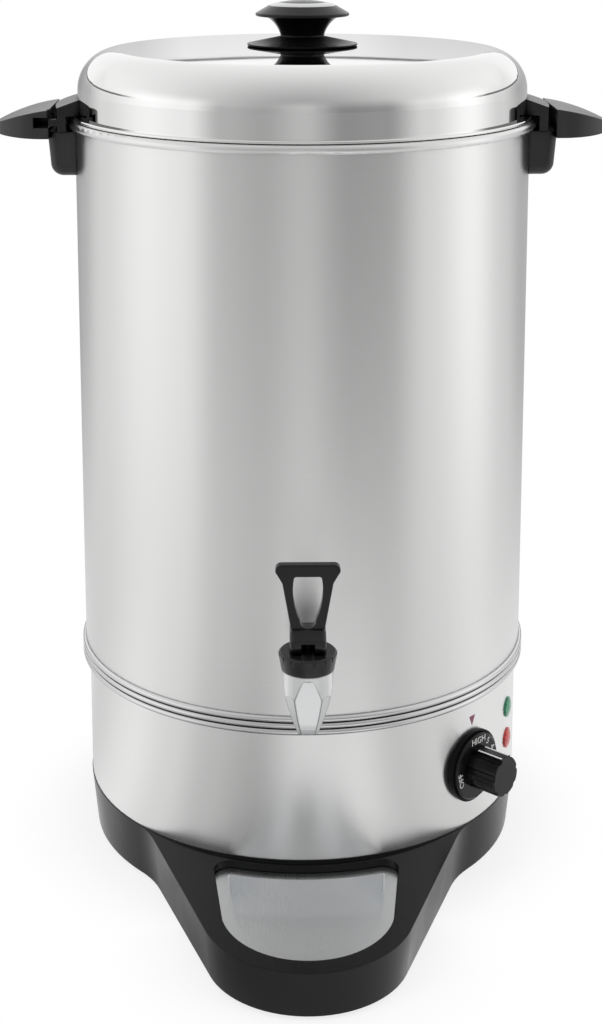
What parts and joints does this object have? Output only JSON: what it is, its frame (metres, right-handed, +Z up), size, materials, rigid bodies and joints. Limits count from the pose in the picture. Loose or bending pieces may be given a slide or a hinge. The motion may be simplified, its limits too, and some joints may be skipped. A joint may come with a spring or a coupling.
{
  "type": "hot water urn",
  "caption": "Electric hot water urn: satin steel tank, polished locking lid, side handles, lever tap, thermostat dial with pilot lamps, black moulded base with drip tray.",
  "frame": {"origin": "on the ground, under the middle of the object's bounding box", "axes": "+Z up, -Y to the front where the tap is, +X to the side that carries the dial"},
  "size_m": [0.3936, 0.4014, 0.551],
  "materials": {
    "housing_black": "glossy",
    "cover_black": "matte",
    "rubber_black": "matte",
    "zinc_steel": "satin",
    "skirt_steel": "satin",
    "band_steel": "glossy",
    "tank_steel": "satin",
    "lid_steel": "polished",
    "tray_steel": "satin",
    "cast_aluminium": "matte",
    "element_steel": "matte",
    "brass_pins": "satin",
    "bulb_copper": "satin",
    "electric_black": "matte",
    "electric_white": "matte",
    "lamp_green": "glossy",
    "lamp_red": "glossy",
    "chrome_bright": "polished",
    "silicone": "matte",
    "tap_black": "satin",
    "dial_black": "satin",
    "handle_black": "glossy"
  },
  "bodies": {
    "urn": {"base_housing": "housing_black", "base_cover": "cover_black", "foot_1": "rubber_black", "foot_2": "rubber_black", "foot_3": "rubber_black", "foot_4": "rubber_black", "foot_5": "rubber_black", "foot_screws": "zinc_steel", "skirt_shell": "skirt_steel", "mid_band": "band_steel", "tank_shell": "tank_steel", "tank_floor": "tank_steel", "heater_plate": "cast_aluminium", "heating_element": "element_steel", "element_terminals": "brass_pins", "sensor_bulb": "bulb_copper", "bulb_clips": "zinc_steel", "thermal_cutout": "electric_black", "terminal_block": "electric_white", "thermostat_body": "electric_white", "thermostat_nut": "zinc_steel", "lamp_green": "lamp_green", "lamp_red": "lamp_red", "lamp_nuts": "zinc_steel", "power_inlet": "electric_black", "inlet_pins": "brass_pins", "inlet_screws": "zinc_steel", "dial_bezel": "dial_black", "tap_body": "chrome_bright", "tap_gaskets": "silicone", "tap_nut": "chrome_bright", "tap_bonnet": "tap_black", "valve_spring": "zinc_steel", "handle_left": "handle_black", "handle_right": "handle_black", "handle_studs": "zinc_steel", "handle_nuts": "chrome_bright"},
    "lid_centre": {"knob_screw": "zinc_steel", "knob_washer": "zinc_steel"},
    "lid": {"lid_shell": "lid_steel", "lid_lug_left": "handle_black", "lid_lug_right": "handle_black", "lug_screws": "zinc_steel", "knob_guard": "handle_black", "lid_knob": "handle_black", "knob_ring": "chrome_bright"},
    "dial": {"dial": "dial_black", "thermostat_shaft": "zinc_steel"},
    "stem": {"valve_stem": "tap_black", "seat_cup": "silicone", "lever_pin": "zinc_steel"},
    "lever": {"tap_lever": "tap_black"},
    "drip_tray": {"drip_tray": "tray_steel"}
  },
  "joints": [
    {"name": "lid_lift", "type": "slide", "parent": "urn", "child": "lid_centre", "axis": [0, 0, 1], "range_m": [0, 0.15]},
    {"name": "lid_turn", "type": "hinge", "parent": "lid_centre", "child": "lid", "pos_m": [0, 0.05106, 0.52], "axis": [0, 0, 1], "range_deg": [-8, 40]},
    {"name": "dial_turn", "type": "hinge", "parent": "urn", "child": "dial", "pos_m": [0.11059, -0.05028, 0.077], "axis": [0.7373, -0.6756, 0], "range_deg": [0, 240]},
    {"name": "stem_lift", "type": "slide", "parent": "urn", "child": "stem", "axis": [0, 0, 1], "range_m": [0, 0.00314], "stiffness_N_per_m": 2000, "springref_m": -0.002, "deforming": ["valve_spring"]},
    {"name": "lever_tilt", "type": "hinge", "parent": "stem", "child": "lever", "pos_m": [0, -0.13194, 0.1988], "axis": [1, 0, 0], "range_deg": [0, 40]},
    {"name": "tray_lift", "type": "slide", "parent": "urn", "child": "drip_tray", "axis": [0, 0, 1], "range_m": [0, 0.06]}
  ],
  "couplings": [
    {"joint": "lever_tilt", "follows": "stem_lift", "rad_per_m": 222.22}
  ]
}
